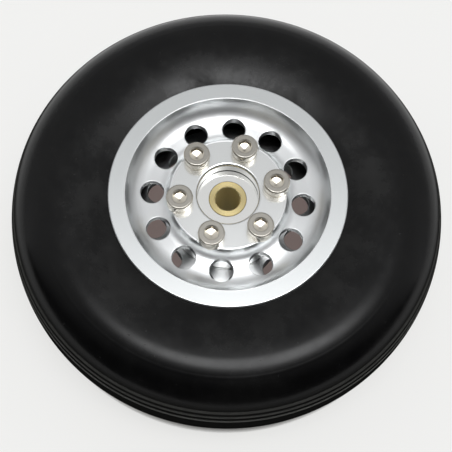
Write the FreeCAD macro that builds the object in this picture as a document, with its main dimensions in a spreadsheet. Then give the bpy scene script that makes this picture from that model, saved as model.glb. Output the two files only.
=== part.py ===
"""Aircraft wheel: a balloon tyre clamped between two turned, drilled aluminium hub halves.

The wheel lies on its side. The axle bore runs along Z through the origin, which is at the
tyre's mid-plane, and +Z points out of the shallow, screw-head side of the hub. Lengths in mm.
"""
import FreeCAD, Part
import math
import os
import re

import Sketcher

WORD = re.compile(r"\b[a-z]+(?:_[a-z]+)+\b")
MIRROR = {"ccw": "cw", "cw": "ccw"}

# Driving sizes: name, value, meaning.
SIZES = [
    ("tyre_diameter", 88.9, "over the ribs at the middle of the tread (3 1/2 in)"),
    ("tyre_width", 27.6, "over the widest rings of the two sidewalls"),
    ("crest_diameter", 67.0, "ring where each sidewall stands furthest out"),
    ("sidewall_rise", 1.45, "from the rubber at the flange's rim out to that ring"),
    ("tread_width", 14.6, "ribbed band"),
    ("crown_drop", 0.98, "fall of the tread from its middle to its edge"),
    ("groove_pairs", 3, "grooves on each side of the middle rib"),
    ("middle_rib", 4.8, "between the middles of the first two grooves"),
    ("rib_pitch", 2.2, "from groove to groove beyond the middle rib"),
    ("groove_width", 0.85, "at the mouth"),
    ("groove_floor", 0.4, "width of the groove's floor"),
    ("groove_depth", 0.5, "below the ribs"),
    ("tyre_wall", 2.4, "rubber of the sidewall and at the tread's edge"),
    ("bead_width", 3.5, "bead along the spigot"),
    ("bead_height", 2.45, "bead above the spigot"),
    ("hub_width", 25.7, "over the faces of the two flanges"),
    ("flange_reach", 1.95, "flange beyond the spigot, all round"),
    ("flange_thickness", 1.5, "clamping ring over the bead"),
    ("flange_round", 0.3, "round on the flange's outer edge"),
    ("lip_diameter", 40.8, "mouth of the dish"),
    ("rim_wall", 1.5, "between the dish and the spigot that the bead sits on"),
    ("web_thickness", 1.5, "drilled disc of each half"),
    ("front_dish_depth", 4.1, "flange face down to the front web"),
    ("rear_dish_depth", 10.15, "flange face down to the rear web"),
    ("rear_wall_round", 4.45, "round between the rear web and the dish wall"),
    ("rear_boss_round", 2.65, "round between the rear web and the boss"),
    ("front_heel_round", 3.05, "outside corner of the front dish"),
    ("rear_heel_round", 4.5, "outside corner of the rear dish"),
    ("boss_length", 11.4, "parting plane to the end face of each boss"),
    ("boss_diameter", 23.5, "end face of each boss"),
    ("barrel_diameter", 24.0, "core between the two webs"),
    ("parting_bevel", 0.2, "bevel where the two halves meet"),
    ("recess_diameter", 12.4, "recess in each boss, round the bush"),
    ("recess_depth", 2.9, "boss face down to the recess floor"),
    ("recess_round", 0.5, "round on the recess mouth"),
    ("relief_size", 0.3, "undercut at the foot of the recess wall"),
    ("hole_count", 12, "lightening holes in each web"),
    ("hole_diameter", 4.8, "lightening hole"),
    ("hole_circle", 30.6, "diameter of the ring of lightening holes"),
    ("screw_count", 6, "clamp screws"),
    ("screw_circle", 19.5, "diameter of the ring of screws"),
    ("screw_diameter", 3.0, "thread, over its crests"),
    ("screw_length", 18.0, "under the head"),
    ("screw_clearance", 0.1, "round the shank in the front half"),
    ("screw_bevel", 0.35, "on the screw's tip"),
    ("head_diameter", 5.25, "socket head"),
    ("head_height", 3.0, "socket head"),
    ("head_round", 0.3, "on the head's top edge"),
    ("socket_size", 2.5, "across the flats"),
    ("socket_depth", 1.6, "hexagon socket"),
    ("socket_mouth", 3.1, "diameter of the socket's bevelled mouth"),
    ("spot_depth", 0.3, "seat sunk in the boss face for the head"),
    ("spot_clearance", 0.3, "round the head in its seat"),
    ("axle_diameter", 5.0, "axle that the wheel turns on"),
    ("axle_clearance", 0.025, "running clearance all round the axle"),
    ("bush_diameter", 7.7, "outside of the brass bush"),
    ("bush_proud", 0.15, "bush end above the recess floor"),
    ("bush_bevel", 0.15, "on the bush's edges"),
]

# Sizes that follow from the driving ones: name, formula.
DERIVED = [
    ("spigot_radius", "lip_diameter / 2 + rim_wall"),
    ("flange_radius", "lip_diameter / 2 + rim_wall + flange_reach"),
    ("flange_plane", "hub_width / 2"),
    ("flange_seat", "hub_width / 2 - flange_thickness"),
    ("front_web_top", "hub_width / 2 - front_dish_depth"),
    ("rear_web_top", "hub_width / 2 - rear_dish_depth"),
    ("recess_floor", "boss_length - recess_depth"),
    ("seat_height", "boss_length - spot_depth"),
    ("half_pitch", "180 / hole_count"),
    ("tread_edge", "tyre_diameter / 2 - crown_drop"),
    ("crown_radius", "(pow(tread_width / 2; 2) + pow(crown_drop; 2)) / (2 * crown_drop)"),
    ("bore_radius", "axle_diameter / 2 + axle_clearance"),
    ("bush_half", "boss_length - recess_depth + bush_proud"),
]


def sheet_names(text):
    """Expression text with every size's name pointed at the sheet."""
    return WORD.sub(lambda found: "Sizes." + found.group(0), text)


def value(owner, text):
    """Present number of an expression written with the sheet's names."""
    return float(owner.evalExpression(sheet_names(text)))


def bind(owner, path, text):
    owner.setExpression(path, sheet_names(text))


def make_sheet(doc):
    sheet = doc.addObject("Spreadsheet::Sheet", "Sizes")
    for row, (name, number, meaning) in enumerate(SIZES, start=1):
        sheet.set("A%d" % row, name)
        sheet.set("B%d" % row, str(number))
        sheet.setAlias("B%d" % row, name)
        sheet.set("C%d" % row, meaning)
    for row, (name, formula) in enumerate(DERIVED, start=len(SIZES) + 2):
        sheet.set("A%d" % row, name)
        sheet.set("B%d" % row, "=" + formula)
        sheet.setAlias("B%d" % row, name)
    doc.recompute()


def arc_radius(run, drop):
    """Radius of an arc that starts level and falls by drop over run."""
    return "(pow({0}; 2) + pow({1}; 2)) / (2 * ({1}))".format(run, drop)


def mirrored(outline):
    """The same outline on the other side of the mid-plane, walked the same way along."""
    result = []
    for x, z, *arc in outline:
        if arc:
            arc = [arc[0], MIRROR[arc[1]]]
        result.append((x, "-(%s)" % z, *arc))
    return result


def origin_feature(body, role):
    return next(item for item in body.Origin.OriginFeatures if item.Role == role)


def new_sketch(body, name, plane, height=None):
    """Empty sketch on one of the body's own planes, lifted by height where that is given."""
    sketch = body.newObject("Sketcher::SketchObject", name)
    sketch.AttachmentSupport = [(origin_feature(body, plane), "")]
    sketch.MapMode = "FlatFace"
    if height:
        bind(sketch, "AttachmentOffset.Base.z", height)
    return sketch


def pin_point(sketch, edge, end, x, y):
    """Tie a point's two coordinates to the sheet."""
    for kind, axis, text in (("DistanceX", -2, x), ("DistanceY", -1, y)):
        number = value(sketch, text)
        if abs(number) < 1e-9:
            sketch.addConstraint(Sketcher.Constraint("PointOnObject", edge, end, axis))
        elif number > 0:
            index = sketch.addConstraint(Sketcher.Constraint(kind, -1, 1, edge, end, number))
            bind(sketch, "Constraints[%d]" % index, text)
        else:
            index = sketch.addConstraint(Sketcher.Constraint(kind, edge, end, -1, 1, -number))
            bind(sketch, "Constraints[%d]" % index, "-(%s)" % text)


def add_arc(sketch, start, end, radius, turn):
    """Minor arc from start to end. Gives its index and its point numbers at start and end."""
    size = value(sketch, radius)
    chord = end - start
    left = FreeCAD.Vector(-chord.y, chord.x, 0).normalize()
    side = 1 if turn == "ccw" else -1
    sagitta = math.sqrt(max(size ** 2 - chord.Length ** 2 / 4, 0))
    centre = (start + end) * 0.5 + left * sagitta * side
    ends = (start, end) if turn == "ccw" else (end, start)
    first, last = (math.atan2(p.y - centre.y, p.x - centre.x) for p in ends)
    circle = Part.Circle(centre, FreeCAD.Vector(0, 0, 1), size)
    edge = sketch.addGeometry(Part.ArcOfCircle(circle, first, last), False)
    index = sketch.addConstraint(Sketcher.Constraint("Radius", edge, size))
    bind(sketch, "Constraints[%d]" % index, radius)
    return (edge, 1, 2) if turn == "ccw" else (edge, 2, 1)


def draw_outline(sketch, corners):
    """Closed outline. A corner is (x, y), or (x, y, radius, turn) where an arc leaves it."""
    points = [FreeCAD.Vector(value(sketch, c[0]), value(sketch, c[1]), 0) for c in corners]
    edges = []
    for index, corner in enumerate(corners):
        start, end = points[index], points[(index + 1) % len(points)]
        if len(corner) == 4:
            edges.append(add_arc(sketch, start, end, corner[2], corner[3]))
        else:
            line = sketch.addGeometry(Part.LineSegment(start, end), False)
            edges.append((line, 1, 2))
    for index, (edge, first, _) in enumerate(edges):
        before, _, last = edges[index - 1]
        sketch.addConstraint(Sketcher.Constraint("Coincident", before, last, edge, first))
    for (edge, first, _), corner in zip(edges, corners):
        pin_point(sketch, edge, first, corner[0], corner[1])


def draw_circle(sketch, x, y, radius):
    size = value(sketch, radius)
    circle = Part.Circle(FreeCAD.Vector(1, 1, 0), FreeCAD.Vector(0, 0, 1), size)
    edge = sketch.addGeometry(circle, False)
    index = sketch.addConstraint(Sketcher.Constraint("Radius", edge, size))
    bind(sketch, "Constraints[%d]" % index, radius)
    pin_point(sketch, edge, 3, x, y)


def new_body(doc, label):
    body = doc.addObject("PartDesign::Body", label)
    body.Label = label
    return body


def revolve(body, name, corners, kind="Revolution"):
    """Turn an outline about Z: a Revolution adds, a Groove cuts."""
    sketch = new_sketch(body, name + "_outline", "XZ_Plane")
    for outline in corners:
        draw_outline(sketch, outline)
    feature = body.newObject("PartDesign::" + kind, name)
    feature.Profile = sketch
    feature.ReferenceAxis = (sketch, ["V_Axis"])
    feature.Angle = 360
    return feature


def pocket_through(body, name, sketch, upwards):
    feature = body.newObject("PartDesign::Pocket", name)
    feature.Profile = sketch
    feature.Type = "ThroughAll"
    feature.Reversed = upwards
    return feature


def repeat_round(body, name, originals, count):
    pattern = body.newObject("PartDesign::PolarPattern", name)
    pattern.Originals = originals
    pattern.Axis = (origin_feature(body, "Z_Axis"), [""])
    pattern.Angle = 360
    bind(pattern, "Occurrences", count)
    body.Tip = pattern


def boss_end():
    """Bush seat, recess and boss face, from the parting plane outwards."""
    wall = "recess_diameter / 2"
    undercut = wall + " + relief_size"
    return [
        ("bush_diameter / 2", "0"),
        ("bush_diameter / 2", "recess_floor"),
        (undercut, "recess_floor"),
        (undercut, "recess_floor + relief_size"),
        (wall, "recess_floor + relief_size"),
        (wall, "boss_length - recess_round", "recess_round", "cw"),
        (wall + " + recess_round", "boss_length"),
    ]


def rim_and_core(web_top, heel):
    """Flange, spigot, underside of the web and core barrel, back to the parting plane."""
    return [
        ("flange_radius - flange_round", "flange_plane", "flange_round", "cw"),
        ("flange_radius", "flange_plane - flange_round"),
        ("flange_radius", "flange_seat"),
        ("spigot_radius", "flange_seat"),
        ("spigot_radius", "%s - web_thickness + %s" % (web_top, heel), heel, "cw"),
        ("spigot_radius - " + heel, "%s - web_thickness" % web_top),
        ("barrel_diameter / 2", "%s - web_thickness" % web_top),
        ("barrel_diameter / 2", "parting_bevel"),
        ("barrel_diameter / 2 - parting_bevel", "0"),
    ]


def drill_half(body, seat, holes_at, upwards):
    """Ring of lightening holes, from the parting plane outwards, and the screw holes."""
    holes = new_sketch(body, "hole_circle", "XY_Plane")
    reach = "hole_circle / 2 * %s(" + holes_at + ")"
    draw_circle(holes, reach % "cos", reach % "sin", "hole_diameter / 2")
    drilled = pocket_through(body, "lightening_hole", holes, upwards)
    repeat_round(body, "lightening_holes", [drilled], "hole_count")
    screw_reach = "screw_circle / 2 * %s(half_pitch)"
    cuts = []
    for name, radius, height in seat:
        circle = new_sketch(body, name + "_circle", "XY_Plane", height)
        draw_circle(circle, screw_reach % "cos", screw_reach % "sin", radius)
        cuts.append(pocket_through(body, name, circle, upwards))
    repeat_round(body, "screw_holes", cuts, "screw_count")


def make_front_half(doc):
    """Shallow dish on the screw-head side: its channel is two quarter rounds."""
    body = new_body(doc, "front_hub_half")
    boss_drop = "boss_length - front_web_top"
    channel = [
        ("boss_diameter / 2", "boss_length", boss_drop, "ccw"),
        ("boss_diameter / 2 + " + boss_drop, "front_web_top"),
        ("lip_diameter / 2 - front_dish_depth", "front_web_top", "front_dish_depth", "ccw"),
        ("lip_diameter / 2", "flange_plane"),
    ]
    revolve(body, "front_dish", [boss_end() + channel + rim_and_core("front_web_top", "front_heel_round")])
    seat = [
        ("screw_hole", "screw_diameter / 2 + screw_clearance", None),
        ("screw_seat", "head_diameter / 2 + spot_clearance", "seat_height"),
    ]
    drill_half(body, seat, "0", upwards=True)
    return body


def make_rear_half(doc):
    """Deep dish on the far side, drilled half a pitch round from the front one."""
    body = new_body(doc, "rear_hub_half")
    channel = [
        ("boss_diameter / 2", "boss_length"),
        ("boss_diameter / 2", "rear_web_top + rear_boss_round", "rear_boss_round", "ccw"),
        ("boss_diameter / 2 + rear_boss_round", "rear_web_top"),
        ("lip_diameter / 2 - rear_wall_round", "rear_web_top", "rear_wall_round", "ccw"),
        ("lip_diameter / 2", "rear_web_top + rear_wall_round"),
        ("lip_diameter / 2", "flange_plane"),
    ]
    outline = boss_end() + channel + rim_and_core("rear_web_top", "rear_heel_round")
    revolve(body, "rear_dish", [mirrored(outline)])
    seat = [("tapped_hole", "screw_diameter / 2", None)]
    drill_half(body, seat, "half_pitch", upwards=False)
    return body


def tyre_outline():
    """Section of the hollow tyre: outer side, tread, other side, then back along the inside."""
    crest = "crest_diameter / 2"
    side_edge = "tyre_width / 2 - sidewall_rise"
    inner_crest = "tyre_width / 2 - tyre_wall"
    inner_edge = "tread_edge - tyre_wall"
    dome = arc_radius(crest + " - flange_radius", "sidewall_rise")
    shoulder = arc_radius("tread_edge - " + crest, "tyre_width / 2 - tread_width / 2")
    inner_shoulder = arc_radius("%s - %s" % (inner_edge, crest), inner_crest + " - tread_width / 2")
    upper = [
        ("spigot_radius", "flange_seat"),
        ("flange_radius", "flange_seat"),
        ("flange_radius", side_edge, dome, "cw"),
        (crest, "tyre_width / 2", shoulder, "cw"),
        ("tread_edge", "tread_width / 2"),
    ]
    inside = [
        (inner_edge, "tread_width / 2", inner_shoulder, "ccw"),
        (crest, inner_crest),
        ("spigot_radius + bead_height", "flange_seat - bead_width"),
        ("spigot_radius", "flange_seat - bead_width"),
    ]
    return join_halves(upper, "crown_radius", inside)


def join_halves(upper, crown, inside):
    """Whole section from its upper half: out over the tread and back along the inside."""
    lower = walk_back(mirrored(upper))
    below = walk_back(mirrored(inside))
    outer = upper[:-1] + [upper[-1] + (crown, "cw")]
    return outer + lower + below + inside


def walk_back(outline):
    """The outline's corners in the other order, each arc kept between its own two corners."""
    result = []
    for index in range(len(outline) - 1, -1, -1):
        corner = outline[index][:2]
        arc = outline[index - 1][2:] if index else ()
        if arc:
            arc = (arc[0], MIRROR[arc[1]])
        result.append(corner + tuple(arc))
    return result


def groove_outlines(pairs):
    """Sections of the grooves on both sides of the middle rib, cut square to the axis."""
    outlines = []
    for side in ("", "-"):
        for index in range(pairs):
            middle = "%s(middle_rib / 2 + %d * rib_pitch)" % (side, index)
            crown = "tyre_diameter / 2 - crown_radius + sqrt(pow(crown_radius; 2) - pow(%s; 2))" % middle
            floor = crown + " - groove_depth"
            mouth = crown + " + groove_depth"
            flare = "(groove_width - groove_floor / 2)"
            outlines.append([
                (mouth, "%s - %s" % (middle, flare)),
                (floor, "%s - groove_floor / 2" % middle),
                (floor, "%s + groove_floor / 2" % middle),
                (mouth, "%s + %s" % (middle, flare)),
            ])
    return outlines


def make_tyre(doc):
    body = new_body(doc, "tyre")
    revolve(body, "carcass", [tyre_outline()])
    grooves = groove_outlines(int(doc.Sizes.groove_pairs))
    revolve(body, "tread_grooves", grooves, kind="Groove")
    return body


def make_bush(doc):
    """Plain brass bush through both halves, bevelled at its ends."""
    body = new_body(doc, "axle_bush")
    upper = [
        ("bore_radius", "bush_half - bush_bevel"),
        ("bore_radius + bush_bevel", "bush_half"),
        ("bush_diameter / 2 - bush_bevel", "bush_half"),
        ("bush_diameter / 2", "bush_half - bush_bevel"),
    ]
    revolve(body, "bush", [upper + walk_back(mirrored(upper))])
    return body


def make_screw(doc, number):
    """Socket-head cap screw, with its head's seat at its own origin."""
    body = new_body(doc, "clamp_screw_%d" % number)
    tip = "screw_diameter / 2 - screw_bevel"
    turned = [
        ("0", "-screw_length"),
        (tip, "-screw_length"),
        ("screw_diameter / 2", "screw_bevel - screw_length"),
        ("screw_diameter / 2", "0"),
        ("head_diameter / 2", "0"),
        ("head_diameter / 2", "head_height - head_round", "head_round", "ccw"),
        ("head_diameter / 2 - head_round", "head_height"),
        ("socket_mouth / 2", "head_height"),
        ("0", "head_height - socket_mouth / 2 * tan(30)"),
    ]
    revolve(body, "turned_screw", [turned])
    socket = new_sketch(body, "socket_outline", "XY_Plane", "head_height")
    corner = "socket_size / sqrt(3) * %s(%d)"
    hexagon = [(corner % ("cos", turn), corner % ("sin", turn)) for turn in range(30, 390, 60)]
    draw_outline(socket, hexagon)
    hollow = body.newObject("PartDesign::Pocket", "socket")
    hollow.Profile = socket
    bind(hollow, "Length", "socket_depth")
    place = "(half_pitch + %d * 360 / screw_count)" % (number - 1)
    for axis, turn in (("x", "cos"), ("y", "sin")):
        bind(body, "Placement.Base." + axis, "screw_circle / 2 * %s%s" % (turn, place))
    bind(body, "Placement.Base.z", "seat_height")
    return body


def check_document(doc, bodies):
    """Stop before anything is written if a feature failed or a solid is not sound."""
    for item in doc.Objects:
        if {"Invalid", "Error"} & set(item.State):
            raise RuntimeError("%s failed: %s" % (item.Label, item.State))
    for body in bodies:
        shape = body.Shape
        if shape.isNull() or not shape.isValid() or len(shape.Solids) != 1:
            raise RuntimeError("%s is not one sound solid" % body.Label)


def main():
    doc = FreeCAD.newDocument("aircraft_wheel")
    make_sheet(doc)
    bodies = [make_front_half(doc), make_rear_half(doc), make_tyre(doc), make_bush(doc)]
    for number in range(1, int(doc.Sizes.screw_count) + 1):
        bodies.append(make_screw(doc, number))
    doc.recompute()
    check_document(doc, bodies)
    os.makedirs("parts", exist_ok=True)
    for body in bodies:
        body.Shape.exportStep("parts/%s.step" % body.Label)
        box = body.Shape.BoundBox
        print("%s volume %.1f box z %.2f to %.2f" % (body.Label, body.Shape.Volume, box.ZMin, box.ZMax))


main()
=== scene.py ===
"""Looks of the aircraft wheel: rubber, turned aluminium, brass and nickel-plated screws.

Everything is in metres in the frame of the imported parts. The wheel lies on its side on a
table, with its axle along Z, in a room with one broad lamp overhead.
"""
import math

import bpy
from mathutils import Matrix, Vector


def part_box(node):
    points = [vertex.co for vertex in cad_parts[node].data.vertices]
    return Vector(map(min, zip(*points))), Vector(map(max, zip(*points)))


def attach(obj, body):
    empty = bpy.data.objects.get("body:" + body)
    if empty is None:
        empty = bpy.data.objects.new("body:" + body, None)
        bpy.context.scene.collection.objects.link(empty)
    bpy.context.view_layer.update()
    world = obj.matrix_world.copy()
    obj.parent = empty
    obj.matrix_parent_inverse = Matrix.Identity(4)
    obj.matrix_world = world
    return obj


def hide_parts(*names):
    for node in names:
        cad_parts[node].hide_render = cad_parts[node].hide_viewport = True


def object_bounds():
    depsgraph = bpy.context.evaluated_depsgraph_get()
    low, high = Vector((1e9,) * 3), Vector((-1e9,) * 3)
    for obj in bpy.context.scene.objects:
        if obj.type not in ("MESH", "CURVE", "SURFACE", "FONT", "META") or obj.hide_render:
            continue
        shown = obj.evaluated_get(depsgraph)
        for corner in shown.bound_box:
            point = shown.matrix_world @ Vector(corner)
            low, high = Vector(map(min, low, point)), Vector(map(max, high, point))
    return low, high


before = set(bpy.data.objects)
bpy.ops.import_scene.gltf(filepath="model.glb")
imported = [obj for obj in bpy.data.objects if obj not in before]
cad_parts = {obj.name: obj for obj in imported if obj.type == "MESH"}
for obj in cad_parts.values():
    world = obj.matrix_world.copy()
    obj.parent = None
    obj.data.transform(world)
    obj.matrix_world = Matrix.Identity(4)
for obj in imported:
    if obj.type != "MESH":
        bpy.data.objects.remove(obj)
CAD_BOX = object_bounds()
MM = 0.001
SCREWS = sorted(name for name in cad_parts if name.startswith("clamp_screw"))
HEAD_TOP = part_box(SCREWS[0])[1].z


# Materials -------------------------------------------------------------------------------

class Wire:
    """One value in a node tree. Arithmetic on it adds the Math nodes."""

    def __init__(self, board, socket):
        self.board = board
        self.socket = socket

    def maths(self, operation, *values):
        return self.board.add("ShaderNodeMath", {"operation": operation}, *values)

    def __add__(self, other):
        return self.maths("ADD", self, other)

    def __radd__(self, other):
        return self.maths("ADD", other, self)

    def __sub__(self, other):
        return self.maths("SUBTRACT", self, other)

    def __rsub__(self, other):
        return self.maths("SUBTRACT", other, self)

    def __mul__(self, other):
        return self.maths("MULTIPLY", self, other)

    def __rmul__(self, other):
        return self.maths("MULTIPLY", other, self)

    def __truediv__(self, other):
        return self.maths("DIVIDE", self, other)

    def __pow__(self, other):
        return self.maths("POWER", self, other)

    def __neg__(self):
        return self.maths("MULTIPLY", self, -1)


class Board:
    """A node tree being wired, with the coordinates that its patterns follow."""

    def __init__(self, tree, coordinates):
        self.tree = tree
        self.place = self.add("ShaderNodeTexCoord", {}, out=coordinates)
        split = self.add("ShaderNodeSeparateXYZ", {}, self.place, out=None)
        self.x, self.y, self.z = (Wire(self, split.outputs[i]) for i in range(3))

    def add(self, kind, settings, *values, out=0, **named):
        """A node of that kind. Its settings come first, then what its inputs get."""
        node = self.tree.nodes.new(kind)
        for key, setting in settings.items():
            setattr(node, key, setting)
        by_name = [(key.replace("_", " "), given) for key, given in named.items()]
        for key, given in list(enumerate(values)) + by_name:
            if isinstance(given, Wire):
                self.tree.links.new(given.socket, node.inputs[key])
            else:
                node.inputs[key].default_value = given
        return node if out is None else Wire(self, node.outputs[out])

    def radius(self):
        """Distance from the axle."""
        return (self.x * self.x + self.y * self.y) ** 0.5

    def height(self):
        """Distance from the middle of the wheel, the same on both sides."""
        return self.z.maths("ABSOLUTE", self.z, 0.0)

    def step(self, number, low, high):
        """0 below low, 1 above high, smooth between."""
        settings = {"interpolation_type": "SMOOTHSTEP"}
        return self.add("ShaderNodeMapRange", settings, number, low, high, 0.0, 1.0)

    def slope(self, number, low, high, first, last):
        """A straight run from first at low to last at high, level beyond them."""
        return self.add("ShaderNodeMapRange", {}, number, low, high, first, last)

    def band(self, number, low, high, soft):
        """1 between low and high, fading to 0 over soft outside them."""
        return self.step(number, low - soft, low) * (1 - self.step(number, high, high + soft))

    def noise(self, scale, detail, rough=0.5):
        """Cloudy pattern in space."""
        cloud = {"Scale": scale, "Detail": detail, "Roughness": rough}
        return self.add("ShaderNodeTexNoise", {}, Vector=self.place, **cloud)

    def turning_marks(self, along, scale):
        """Fine uneven rings, as a lathe tool leaves them, one after another along a length."""
        settings = {"noise_dimensions": "1D"}
        return self.add("ShaderNodeTexNoise", settings, W=along, Scale=scale, Detail=2.0)

    def blend(self, factor, first, second):
        """Colour that goes from first to second as factor goes from 0 to 1."""
        node = self.add("ShaderNodeMix", {"data_type": "RGBA"}, factor, out=None)
        for key, colour in ((6, first), (7, second)):
            if isinstance(colour, Wire):
                self.tree.links.new(colour.socket, node.inputs[key])
            else:
                node.inputs[key].default_value = (*colour, 1)
        return Wire(self, node.outputs[2])

    def bump(self, height, distance, strength, normal=None):
        """Small relief as deep as distance, on top of normal where that is given."""
        node = self.add("ShaderNodeBump", {}, out=None, Strength=strength, Distance=distance)
        self.tree.links.new(height.socket, node.inputs["Height"])
        if normal:
            self.tree.links.new(normal.socket, node.inputs["Normal"])
        return Wire(self, node.outputs[0])


class Finish(Board):
    """A material: one shader, and the nodes that feed it."""

    def __init__(self, name, **shader):
        self.material = bpy.data.materials.new(name)
        self.material.use_nodes = True
        super().__init__(self.material.node_tree, "Object")
        self.shader = self.tree.nodes["Principled BSDF"]
        for socket, number in shader.items():
            self.shader.inputs[socket.replace("_", " ")].default_value = number

    def feed(self, shader=None, **inputs):
        """Links what varies into a shader, the first one unless another is given."""
        for key, given in inputs.items():
            socket = (shader or self.shader).inputs[key.replace("_", " ")]
            self.tree.links.new(given.socket, socket)

    def over(self, mask, kind="ShaderNodeBsdfPrincipled", **settings):
        """A second shader that shows where mask is 1."""
        top = self.add(kind, {}, out=None, **settings)
        mixed = self.add("ShaderNodeMixShader", {}, mask, out=None)
        self.tree.links.new(self.shader.outputs[0], mixed.inputs[1])
        self.tree.links.new(top.outputs[0], mixed.inputs[2])
        surface = self.tree.nodes["Material Output"].inputs["Surface"]
        self.tree.links.new(mixed.outputs[0], surface)
        return top


# Where one finish gives way to the next, from its start to its end: an EDGE is a distance
# from the axle, and a LEVEL is a height over the wheel's middle.
NEAR_HUB_EDGE = (26 * MM, 35 * MM)
RIBS_TOP_LEVEL = (8.5 * MM, 10.1 * MM)
RIBS_EDGE = (39.7 * MM, 41.7 * MM)
# Foot of each painted highlight line along a rib's upper edge, and how strong it is.
RIB_HIGHLIGHT_LINES = ((4.1 * MM, 1.0), (6.1 * MM, 0.55), (7.75 * MM, 0.4))
RIB_HIGHLIGHT_WIDTH, RIB_HIGHLIGHT_SOFT = 0.25 * MM, 0.15 * MM
FLANGE_EDGE, FLANGE_LEVEL = (20.5 * MM, 20.65 * MM), (12.7 * MM, 12.8 * MM)
BOSS_EDGE, BOSS_LEVEL = (11.3 * MM, 11.5 * MM), (8.2 * MM, 8.3 * MM)
RECESS_EDGE = (6.3 * MM, 6.4 * MM)
WEBS_LEVEL, WEBS_SOFT = (-1.1 * MM, 7.1 * MM), 0.1 * MM
BORE_EDGE = (2.55 * MM, 2.6 * MM)
HEAD_TOP_LEVEL = (HEAD_TOP - 0.06 * MM, HEAD_TOP - 0.02 * MM)


def tyre_rubber():
    """Moulded black rubber: glossy, a little uneven, with a film of talc and a few specks.

    The ribs are matt, with a painted highlight: a pale line along the upper edge of each.
    """
    finish = Finish("tyre_rubber", Specular_IOR_Level=0.19)
    radius, height = finish.radius(), finish.height()
    film = finish.noise(75.0, detail=6.0, rough=0.65)
    mottle = finish.noise(520.0, detail=4.0, rough=0.65)
    near_hub = 1 - finish.step(radius, *NEAR_HUB_EDGE)
    haze = finish.step(film, low=0.34, high=0.74) * (0.3 + 0.7 * near_hub)
    specks = finish.step(finish.noise(1500.0, detail=2.0), low=0.70, high=0.76)
    cover = haze * (0.2 + 1.6 * mottle) + 0.4 * specks
    grain = finish.noise(2200.0, detail=4.0, rough=0.65)
    wave = finish.noise(45.0, detail=3.0, rough=0.45)
    waves = finish.bump(wave, distance=0.30 * MM, strength=0.22)
    skin = finish.bump(grain, distance=0.012 * MM, strength=0.25, normal=waves)
    black, talc = (0.0008, 0.0008, 0.0009), (0.0068, 0.0068, 0.0064)
    finish.feed(
        Base_Color=finish.blend(cover, black, talc),
        Roughness=0.11 + 0.30 * cover + 0.10 * mottle,
        Normal=skin,
    )

    ribs = (1 - finish.step(height, *RIBS_TOP_LEVEL)) * finish.step(radius, *RIBS_EDGE)
    tread = finish.over(ribs, Specular_IOR_Level=0.0)
    # Painted highlight where each rib's rounded upper edge catches the lamp.
    painted_highlight = sum(
        much * finish.band(height, line, line + RIB_HIGHLIGHT_WIDTH, RIB_HIGHLIGHT_SOFT)
        for line, much in RIB_HIGHLIGHT_LINES
    )
    matt_black, painted_highlight_grey = (0.0095, 0.0095, 0.009), (0.085, 0.085, 0.080)
    finish.feed(
        tread,
        Base_Color=finish.blend(painted_highlight * (0.5 + mottle), matt_black, painted_highlight_grey),
        Roughness=0.32 + 0.15 * mottle,
        Normal=skin,
    )
    return finish.material


def hub_aluminium():
    """Turned aluminium: tool lines in the dish, satin on the flange and the boss face."""
    finish = Finish("hub_aluminium", Metallic=1.0, Anisotropic=0.75, Anisotropic_Rotation=0.25)
    radius, height = finish.radius(), finish.height()
    flange = finish.step(radius, *FLANGE_EDGE) * finish.step(height, *FLANGE_LEVEL)
    boss = (1 - finish.step(radius, *BOSS_EDGE)) * finish.step(height, *BOSS_LEVEL)
    recess = 1 - finish.step(radius, *RECESS_EDGE)
    between_webs = finish.band(finish.z, *WEBS_LEVEL, WEBS_SOFT)
    smudge = finish.noise(160.0, detail=5.0, rough=0.6)
    fine = finish.noise(3000.0, detail=2.0)
    rings = finish.turning_marks(radius + height, 9000.0)
    broken_edge = finish.add("ShaderNodeBevel", {"samples": 6}, Radius=0.25 * MM)
    satin = finish.over(flange + boss, Metallic=1.0)

    dish = finish.blend(smudge, (0.68, 0.695, 0.70), (0.72, 0.73, 0.73))
    # Painted light: a paler colour on the hub's inside between the two webs.
    painted_light_between_webs = (0.92, 0.92, 0.905)
    finish.feed(
        Base_Color=finish.blend(between_webs, dish, painted_light_between_webs),
        Roughness=0.27 + 0.05 * smudge - 0.12 * between_webs,
        Normal=finish.bump(rings, distance=0.002 * MM, strength=0.5, normal=broken_edge),
    )
    boss_face, flange_face = (0.68, 0.69, 0.685), (0.53, 0.545, 0.545)
    # Painted light: a paler colour inside the recess round the bush.
    painted_light_in_recess = (0.80, 0.80, 0.78)
    finish.feed(
        satin,
        Base_Color=finish.blend(
            recess, finish.blend(flange, boss_face, flange_face), painted_light_in_recess
        ),
        Roughness=0.17 + 0.10 * flange - 0.08 * recess + 0.04 * smudge,
        Normal=finish.bump(0.3 * rings + fine * flange, distance=0.004 * MM, strength=0.5),
    )
    return finish.material


def bush_brass():
    """Turned brass, a little tarnished on its ends, and paler in the bore as painted light."""
    finish = Finish("bush_brass", Metallic=1.0, Anisotropic=0.6, Anisotropic_Rotation=0.25)
    radius = finish.radius()
    tarnish = finish.noise(500.0, detail=4.0)
    # Painted light: the bore gets a paler colour than the ends.
    in_bore = 1 - finish.step(radius, *BORE_EDGE)
    end_face = finish.blend(tarnish, (0.64, 0.54, 0.29), (0.54, 0.44, 0.21))
    rings = finish.turning_marks(radius, 12000.0)
    finish.feed(
        Base_Color=finish.blend(in_bore, end_face, (0.95, 0.84, 0.50)),
        Roughness=0.18 + 0.08 * tarnish + 0.2 * in_bore,
        Normal=finish.bump(rings, distance=0.004 * MM, strength=0.5),
    )
    return finish.material


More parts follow.
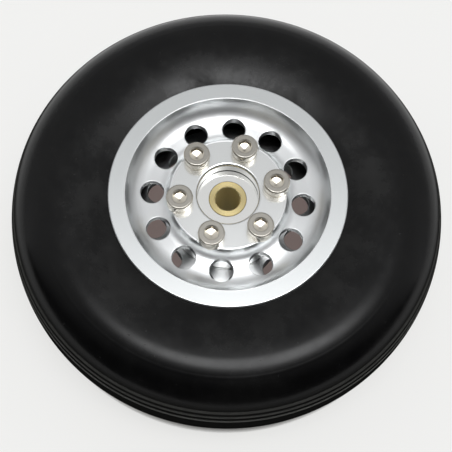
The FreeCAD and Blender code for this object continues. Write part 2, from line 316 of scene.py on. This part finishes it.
def screw_nickel():
    """Nickel plate: paler on the sides and in the socket as a painted highlight, darker and
    rougher on the flat top.
    """
    finish = Finish("screw_nickel", Metallic=1.0)
    top = finish.step(finish.z, *HEAD_TOP_LEVEL)
    stain = finish.noise(900.0, detail=4.0, rough=0.6)
    dull = finish.blend(stain, (0.38, 0.365, 0.335), (0.30, 0.285, 0.25))
    # Painted highlight: the sides and socket get a paler nickel than the top.
    painted_highlight_nickel = finish.blend(stain, (0.66, 0.62, 0.54), (0.58, 0.54, 0.46))
    grain = finish.noise(5000.0, detail=2.0)
    finish.feed(
        Base_Color=finish.blend(top, painted_highlight_nickel, dull),
        Roughness=0.14 + 0.08 * stain + 0.06 * top,
        Normal=finish.bump(grain, distance=0.003 * MM, strength=0.5),
    )
    return finish.material


def dress(node, material):
    """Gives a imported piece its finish."""
    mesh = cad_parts[node].data
    mesh.materials.clear()
    mesh.materials.append(material)


rubber = tyre_rubber()
dress("tyre", rubber)
aluminium = hub_aluminium()
dress("front_hub_half", aluminium)
dress("rear_hub_half", aluminium)
dress("axle_bush", bush_brass())
nickel = screw_nickel()
for screw in SCREWS:
    dress(screw, nickel)


# Tyre ------------------------------------------------------------------------------------

# Places on the tyre's outline: distance from the axle, height over the tyre's middle.
TREAD_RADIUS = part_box("tyre")[1].x
CREST = (33.5 * MM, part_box("tyre")[1].z)
TREAD_EDGE = (43.46 * MM, 7.3 * MM)
FLANGE_RIM = (23.88 * MM, 12.35 * MM)
BEAD_TOP, BEAD_FOOT = 11.33 * MM, 7.85 * MM
SPIGOT, BEAD_REACH = 21.93 * MM, 24.35 * MM
INNER_WALL = (
    (26.8 * MM, 10.1 * MM), (33.5 * MM, 11.4 * MM), (37.6 * MM, 10.4 * MM),
    (40.6 * MM, 7.6 * MM), (41.8 * MM, 4.0 * MM), (42.0 * MM, 0.0),
)
# Upper edge of each rib, and how deep the groove over it is.
RIBS = ((4.3 * MM, 0.45 * MM), (6.3 * MM, 0.42 * MM), (7.95 * MM, 0.30 * MM))
GROOVE_WIDTH, GROOVE_LIP = 0.62 * MM, 0.06 * MM
CORNER, CORNER_STEPS = 0.16 * MM, 4
SEAM_RADIUS, SEAM_HEIGHT, SEAM_REACH = 37.4 * MM, 0.035 * MM, 0.2 * MM
RIB_STEP = 0.5 * MM
SHOULDER_STEPS, DOME_STEPS = 44, 16
TYRE_STEPS = 288
SAME_PLACE = 0.001 * MM
SHARPEST_SMOOTH = math.radians(40)


def level_arc_radius(run, drop):
    """Radius of an arc that starts level and falls by drop over run."""
    return (run * run + drop * drop) / (2 * drop)


CROWN = level_arc_radius(TREAD_EDGE[1], TREAD_RADIUS - TREAD_EDGE[0])
SHOULDER = level_arc_radius(TREAD_EDGE[0] - CREST[0], CREST[1] - TREAD_EDGE[1])
DOME = level_arc_radius(CREST[0] - FLANGE_RIM[0], CREST[1] - FLANGE_RIM[1])


def tread_radius(height):
    """The tyre's outside at a height over its middle: crown of the tread, then shoulder."""
    if height <= TREAD_EDGE[1]:
        return TREAD_RADIUS - CROWN + math.sqrt(CROWN * CROWN - height * height)
    rise = height - CREST[1] + SHOULDER
    return CREST[0] + math.sqrt(SHOULDER * SHOULDER - rise * rise)


def rib_face(low, high):
    """Points up the outside of a rib."""
    count = max(2, round((high - low) / RIB_STEP))
    heights = [low + (high - low) * i / count for i in range(count + 1)]
    return [(tread_radius(z), z) for z in heights]


def rib_groove(corner, depth):
    """Rounded upper edge of a rib, then the groove over it."""
    face, top = tread_radius(corner), corner + GROOVE_WIDTH
    points = []
    for i in range(1, CORNER_STEPS + 1):
        turn = math.pi / 2 * i / CORNER_STEPS
        inwards, down = 1 - math.cos(turn), 1 - math.sin(turn)
        points.append((face - CORNER * inwards, corner - CORNER * down))
    lip = tread_radius(top) - GROOVE_LIP
    return points + [(face - depth, corner), (face - depth, top), (lip, top)]


def shoulder_points(low):
    """Shoulder from the last groove up to the crest, with the mould's seam round it."""
    centre = CREST[1] - SHOULDER
    first = math.asin((low - centre) / SHOULDER)
    points = []
    for i in range(SHOULDER_STEPS + 1):
        turn = first + (math.pi / 2 - first) * i / SHOULDER_STEPS
        from_seam = abs(CREST[0] + SHOULDER * math.cos(turn) - SEAM_RADIUS)
        reach = SHOULDER + SEAM_HEIGHT * max(0.0, 1 - from_seam / SEAM_REACH)
        points.append((CREST[0] + reach * math.cos(turn), centre + reach * math.sin(turn)))
    return points


def dome_points():
    """Sidewall from the crest in to the flange's rim."""
    points = []
    for i in range(1, DOME_STEPS + 1):
        along = (CREST[0] - FLANGE_RIM[0]) * i / DOME_STEPS
        fall = DOME - math.sqrt(DOME * DOME - along * along)
        points.append((CREST[0] - along, CREST[1] - fall))
    return points


def tyre_half():
    """Outline from the middle of the tread round to the middle of the inside, upper half."""
    points, low = [], 0.0
    for corner, depth in RIBS:
        points += rib_face(low, corner - CORNER) + rib_groove(corner, depth)
        low = corner + GROOVE_WIDTH + GROOVE_LIP
    bead = [
        (FLANGE_RIM[0], BEAD_TOP), (SPIGOT, BEAD_TOP),
        (SPIGOT, BEAD_FOOT), (BEAD_REACH, BEAD_FOOT),
    ]
    return points + shoulder_points(low) + dome_points() + bead + list(INNER_WALL)


def turn_tyre():
    """The tyre that shows: its outline drawn point by point, then spun round the axle."""
    upper = tyre_half()
    outline = upper + [(r, -z) for r, z in reversed(upper[1:-1])]
    bpy.ops.object.select_all(action="DESELECT")
    bpy.ops.mesh.primitive_plane_add(size=MM, location=(outline[0][0], 0, outline[0][1]))
    bpy.ops.object.transform_apply(location=True)
    tyre = bpy.context.object
    tyre.name = "tyre_skin"
    bpy.ops.object.mode_set(mode="EDIT")
    bpy.ops.mesh.select_all(action="SELECT")
    bpy.ops.mesh.merge(type="CENTER")
    bpy.ops.mesh.select_mode(type="VERT")
    bpy.ops.mesh.select_all(action="SELECT")
    for (r0, z0), (r1, z1) in zip(outline, outline[1:] + outline[:1]):
        move = {"value": (r1 - r0, 0, z1 - z0)}
        bpy.ops.mesh.extrude_region_move(TRANSFORM_OT_translate=move)
    bpy.ops.mesh.select_all(action="SELECT")
    bpy.ops.mesh.remove_doubles(threshold=SAME_PLACE)
    bpy.ops.mesh.spin(steps=TYRE_STEPS, angle=2 * math.pi, center=(0, 0, 0), axis=(0, 0, 1))
    bpy.ops.mesh.select_all(action="SELECT")
    bpy.ops.mesh.remove_doubles(threshold=SAME_PLACE)
    bpy.ops.mesh.normals_make_consistent(inside=False)
    bpy.ops.object.mode_set(mode="OBJECT")
    bpy.ops.object.shade_smooth_by_angle(angle=SHARPEST_SMOOTH)
    tyre.data.materials.append(rubber)
    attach(tyre, "root")
    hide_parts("tyre")


turn_tyre()


# Screw sockets ---------------------------------------------------------------------------

SOCKET_DEPTH = 1.6 * MM
SOCKET_REACH = 1.25 * MM
SOCKET_FACETS = 48
FLOOR_THICKNESS = 0.6 * MM
FLOOR_INSET = 0.86 * SOCKET_REACH
FLOOR_DIP = 0.27 * MM
FACING_UP = 0.9


def drill_point(screw):
    """The dished floor that a drill leaves in a screw's socket."""
    low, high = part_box(screw)
    centre = ((low.x + high.x) / 2, (low.y + high.y) / 2, high.z - SOCKET_DEPTH)
    bpy.ops.object.select_all(action="DESELECT")
    bpy.ops.mesh.primitive_cylinder_add(
        vertices=SOCKET_FACETS, radius=SOCKET_REACH, depth=FLOOR_THICKNESS, location=centre
    )
    dish = bpy.context.object
    dish.name = "socket_floor_" + screw.split("_")[-1]
    bpy.ops.object.transform_apply(location=True)
    bpy.ops.object.mode_set(mode="EDIT")
    bpy.ops.mesh.select_mode(type="FACE")
    bpy.ops.mesh.select_all(action="DESELECT")
    bpy.ops.object.mode_set(mode="OBJECT")
    for face in dish.data.polygons:
        face.select = face.normal.z > FACING_UP
    bpy.ops.object.mode_set(mode="EDIT")
    bpy.ops.mesh.inset(thickness=FLOOR_INSET)
    bpy.ops.transform.translate(value=(0, 0, -FLOOR_DIP))
    bpy.ops.object.mode_set(mode="OBJECT")
    dish.data.materials.append(nickel)
    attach(dish, "root")


for screw in SCREWS:
    drill_point(screw)


# Table, room and camera ------------------------------------------------------------------

TABLE_SIZE = 3.0
TABLE_HEIGHT = CAD_BOX[0].z
TABLE_GLOW = 0.75
# Painted shadow on the table: how far it reaches and how sharply it fades, then where it goes
# from the brownish shade under the hub to the dark shadow under the tyre.
PAINTED_SHADOW_REACH, PAINTED_SHADOW_POWER = 4 * MM, 11
PAINTED_SHADOW_EDGE = (38 * MM, 40 * MM)
PAINTED_SHADE_HUB_EDGE = (22 * MM, 26 * MM)
# The lamp, as seen from the wheel: where it hangs, its bulb and shade from full to dark, and
# how far each is drawn out along X.
LAMP_X, LAMP_Y = 0.08, -0.045
BULB_EDGE, BULB_STRETCH, BULB_GLOW = (0.09, 0.235), 0.27, 6.2
SHADE_EDGE, SHADE_STRETCH, SHADE_GLOW = (0.16, 0.40), 0.5, 1.5
ROOM_GLOW, BACKDROP = 0.79, 0.87
ROOM_COLOUR = (0.985, 0.99, 1.0, 1)
SENSOR_WIDTH = 36
NEAREST, FURTHEST = 0.01, 20


def lay_table():
    """A pale sheet under the wheel, glowing for the camera, with a painted shadow close to the
    tyre and under it.
    """
    bpy.ops.mesh.primitive_plane_add(size=TABLE_SIZE, location=(0, 0, TABLE_HEIGHT))
    table = bpy.context.object
    table.name = "table"
    finish = Finish("table_white", Roughness=0.6, Specular_IOR_Level=0.2)
    cloud = finish.noise(9.0, detail=2.0)
    finish.feed(Base_Color=finish.blend(cloud, (0.86, 0.86, 0.85), (0.88, 0.875, 0.865)))
    # For the camera the table mostly glows, and that glow takes the painted shadow's colours.
    seen = finish.add("ShaderNodeLightPath", {}, out="Is Camera Ray")
    glow = finish.over(seen * TABLE_GLOW, "ShaderNodeEmission")
    radius = finish.radius()
    # Painted contact shadow: ambient occlusion to a high power, and full shadow inside the
    # tyre's edge.
    clear = finish.add("ShaderNodeAmbientOcclusion", {}, out="AO", Distance=PAINTED_SHADOW_REACH)
    clear = clear**PAINTED_SHADOW_POWER * finish.step(radius, *PAINTED_SHADOW_EDGE)
    # Painted shadow colours: a brownish shade under the hub, near black under the tyre.
    painted_shade_under_hub, painted_shadow_under_tyre = (0.20, 0.155, 0.145), (0.03, 0.025, 0.02)
    open_table = (0.885, 0.885, 0.87)
    under = finish.blend(finish.step(radius, *PAINTED_SHADE_HUB_EDGE), painted_shade_under_hub, painted_shadow_under_tyre)
    shade = finish.blend(clear, under, open_table)
    finish.tree.links.new(shade.socket, glow.inputs["Color"])
    table.data.materials.append(finish.material)


def light_room():
    """A room that is dimmer behind the viewer, with one broad soft lamp overhead."""
    world = bpy.data.worlds.new("room")
    bpy.context.scene.world = world
    world.use_nodes = True
    room = Board(world.node_tree, "Generated")
    across, along = room.x - LAMP_X, room.y - LAMP_Y
    off_shade = (across * across * SHADE_STRETCH + along * along) ** 0.5
    off_bulb = (across * across * BULB_STRETCH + along * along) ** 0.5
    shade = 1 - room.step(off_shade, *SHADE_EDGE)
    bulb = 1 - room.step(off_bulb, *BULB_EDGE)
    lean = -room.y / (room.y * room.y + room.z * room.z) ** 0.5
    near = room.slope(lean, low=-0.1, high=0.8, first=1.0, last=0.1)
    far = room.slope(lean, low=-0.95, high=-0.5, first=0.7, last=1.0)
    level = ROOM_GLOW * near * far + SHADE_GLOW * shade + BULB_GLOW * bulb
    seen = room.add("ShaderNodeLightPath", {}, out="Is Camera Ray")
    level = level * (1 - seen) + BACKDROP * seen
    background = world.node_tree.nodes["Background"]
    background.inputs["Color"].default_value = ROOM_COLOUR
    world.node_tree.links.new(level.socket, background.inputs["Strength"])


def place_camera(azimuth, elevation, distance, tilt, roll, lens):
    """Camera that looks close to the origin. Angles in degrees."""
    turn, rise = math.radians(azimuth), math.radians(elevation)
    drop, spin = math.radians(tilt), math.radians(roll)
    level = math.cos(rise)
    outwards = Vector((level * math.cos(turn), level * math.sin(turn), math.sin(rise)))
    right = Vector((-math.sin(turn), math.cos(turn), 0))
    up = outwards.cross(right) * math.cos(drop) + outwards * math.sin(drop)
    right, up = (
        right * math.cos(spin) + up * math.sin(spin),
        up * math.cos(spin) - right * math.sin(spin),
    )
    basis = Matrix((right, up, right.cross(up))).transposed().to_4x4()
    bpy.ops.object.camera_add()
    camera = bpy.context.object
    camera.data.lens = lens
    camera.data.sensor_width = SENSOR_WIDTH
    camera.data.clip_start = NEAREST
    camera.data.clip_end = FURTHEST
    camera.matrix_world = Matrix.Translation(outwards * distance) @ basis
    bpy.context.scene.camera = camera


lay_table()
light_room()
place_camera(
    azimuth=-88.71, elevation=69.46, distance=0.2089, tilt=-0.71, roll=3.67, lens=79.2
)
bpy.context.scene.view_settings.view_transform = "Standard"
